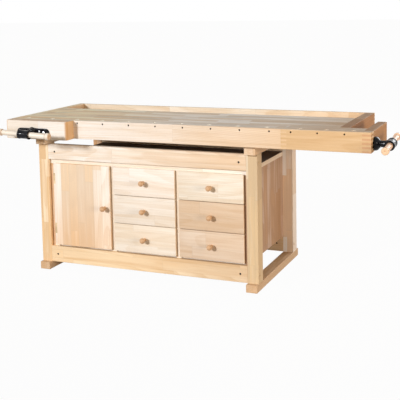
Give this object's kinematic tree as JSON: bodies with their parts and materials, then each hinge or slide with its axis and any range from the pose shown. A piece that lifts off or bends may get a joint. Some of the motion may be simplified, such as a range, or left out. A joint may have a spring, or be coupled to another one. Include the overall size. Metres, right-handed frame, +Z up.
{
  "type": "woodworking bench with vises",
  "caption": "Beech woodworking bench: slab top with dog holes and tool tray, front vise, L-shaped tail vise, trestle base holding a cabinet with a hinged door and sliding drawers.",
  "frame": {"origin": "on the floor under the middle of the whole bench's bounding box, vises included", "axes": "+X along the bench towards the tail vise, +Y towards the back with the tool tray, +Z up"},
  "size_m": [2.115, 0.934, 0.86],
  "materials": {
    "wood_top": "oiled beech, flat sanded",
    "wood_frame": "oiled beech, flat sanded",
    "wood_cabinet": "glued beech board, oiled",
    "wood_fronts": "glued beech board, oiled",
    "wood_drawer": "plain beech and birch ply",
    "wood_turned": "turned beech, oiled",
    "iron_black": "glossy black enamel",
    "steel_rod": "bright ground steel",
    "steel_bright": "zinc plated"
  },
  "bodies": {
    "bench": {"front_beam": "wood_top", "worktop_slab": "wood_top", "left_end_cap": "wood_top", "right_end_cap": "wood_top", "back_rail": "wood_top", "tray_floor": "wood_top", "post_front_left": "wood_frame", "post_rear_left": "wood_frame", "post_front_right": "wood_frame", "post_rear_right": "wood_frame", "foot_left": "wood_frame", "foot_right": "wood_frame", "crossbar_left": "wood_frame", "crossbar_right": "wood_frame", "front_top_rail": "wood_frame", "front_bottom_rail": "wood_frame", "back_top_rail": "wood_frame", "back_bottom_rail": "wood_frame", "frame_bolts": "steel_bright", "barrel_nuts": "steel_bright", "cabinet_side_left": "wood_cabinet", "cabinet_side_right": "wood_cabinet", "cabinet_top": "wood_cabinet", "cabinet_floor": "wood_cabinet", "cabinet_back": "wood_cabinet", "partition_left": "wood_cabinet", "partition_right": "wood_cabinet", "hinge_stile": "wood_cabinet", "cabinet_shelf": "wood_cabinet", "drawer_runners": "wood_cabinet", "hinge_leaves_fixed": "steel_bright", "front_vise_nut": "iron_black", "tail_vise_nut": "iron_black"},
    "front_jaw": {"front_jaw": "wood_top", "front_vise_plate": "iron_black", "front_guide_rods": "steel_rod"},
    "front_screw": {"front_screw": "iron_black"},
    "front_bar": {"front_bar": "wood_turned"},
    "tail_jaw": {"tail_block": "wood_top", "tail_jaw_head": "wood_top", "tail_end_block": "wood_top", "tail_flange": "iron_black", "tail_guide_rods": "steel_rod"},
    "tail_screw": {"tail_screw": "iron_black"},
    "tail_bar": {"tail_bar": "wood_turned"},
    "door": {"door_panel": "wood_fronts", "door_knob": "wood_turned", "hinge_leaves_door": "steel_bright"},
    "drawer_1": {"drawer_1_front": "wood_fronts", "drawer_1_box": "wood_drawer"},
    "drawer_2": {"drawer_2_front": "wood_fronts", "drawer_2_box": "wood_drawer"},
    "drawer_3": {"drawer_3_front": "wood_fronts", "drawer_3_box": "wood_drawer"},
    "drawer_4": {"drawer_4_front": "wood_fronts", "drawer_4_box": "wood_drawer"},
    "drawer_5": {"drawer_5_front": "wood_fronts", "drawer_5_box": "wood_drawer"},
    "drawer_6": {"drawer_6_front": "wood_fronts", "drawer_6_box": "wood_drawer"}
  },
  "joints": [
    {"name": "front_jaw_slide", "type": "slide", "parent": "bench", "child": "front_jaw", "axis": [0, -1, 0], "range_m": [0, 0.15]},
    {"name": "front_screw_turn", "type": "hinge", "parent": "front_jaw", "child": "front_screw", "pos_m": [-0.877, -0.442, 0.799], "axis": [0, -1, 0], "range_deg": [0, 9001]},
    {"name": "front_bar_slide", "type": "slide", "parent": "front_screw", "child": "front_bar", "axis": [0.9991, 0, -0.0419], "range_m": [-0.1005, 0.1055]},
    {"name": "tail_jaw_slide", "type": "slide", "parent": "bench", "child": "tail_jaw", "axis": [1, 0, 0], "range_m": [0, 0.15]},
    {"name": "tail_screw_turn", "type": "hinge", "parent": "tail_jaw", "child": "tail_screw", "pos_m": [1.0325, -0.218, 0.798], "axis": [1, 0, 0], "range_deg": [0, 9001]},
    {"name": "tail_bar_slide", "type": "slide", "parent": "tail_screw", "child": "tail_bar", "axis": [0, 0.9971, 0.0767], "range_m": [-0.1155, 0.0905]},
    {"name": "door_hinge", "type": "hinge", "parent": "bench", "child": "door", "pos_m": [-0.84205, -0.208, 0.373], "axis": [0, 0, -1], "range_deg": [0, 100]},
    {"name": "drawer_1_slide", "type": "slide", "parent": "bench", "child": "drawer_1", "axis": [0, -1, 0], "range_m": [0, 0.45]},
    {"name": "drawer_2_slide", "type": "slide", "parent": "bench", "child": "drawer_2", "axis": [0, -1, 0], "range_m": [0, 0.45]},
    {"name": "drawer_3_slide", "type": "slide", "parent": "bench", "child": "drawer_3", "axis": [0, -1, 0], "range_m": [0, 0.45]},
    {"name": "drawer_4_slide", "type": "slide", "parent": "bench", "child": "drawer_4", "axis": [0, -1, 0], "range_m": [0, 0.45]},
    {"name": "drawer_5_slide", "type": "slide", "parent": "bench", "child": "drawer_5", "axis": [0, -1, 0], "range_m": [0, 0.45]},
    {"name": "drawer_6_slide", "type": "slide", "parent": "bench", "child": "drawer_6", "axis": [0, -1, 0], "range_m": [0, 0.45]}
  ],
  "couplings": [
    {"joint": "front_screw_turn", "follows": "front_jaw_slide", "rad_per_m": 1047.2},
    {"joint": "tail_screw_turn", "follows": "tail_jaw_slide", "rad_per_m": 1047.2}
  ]
}
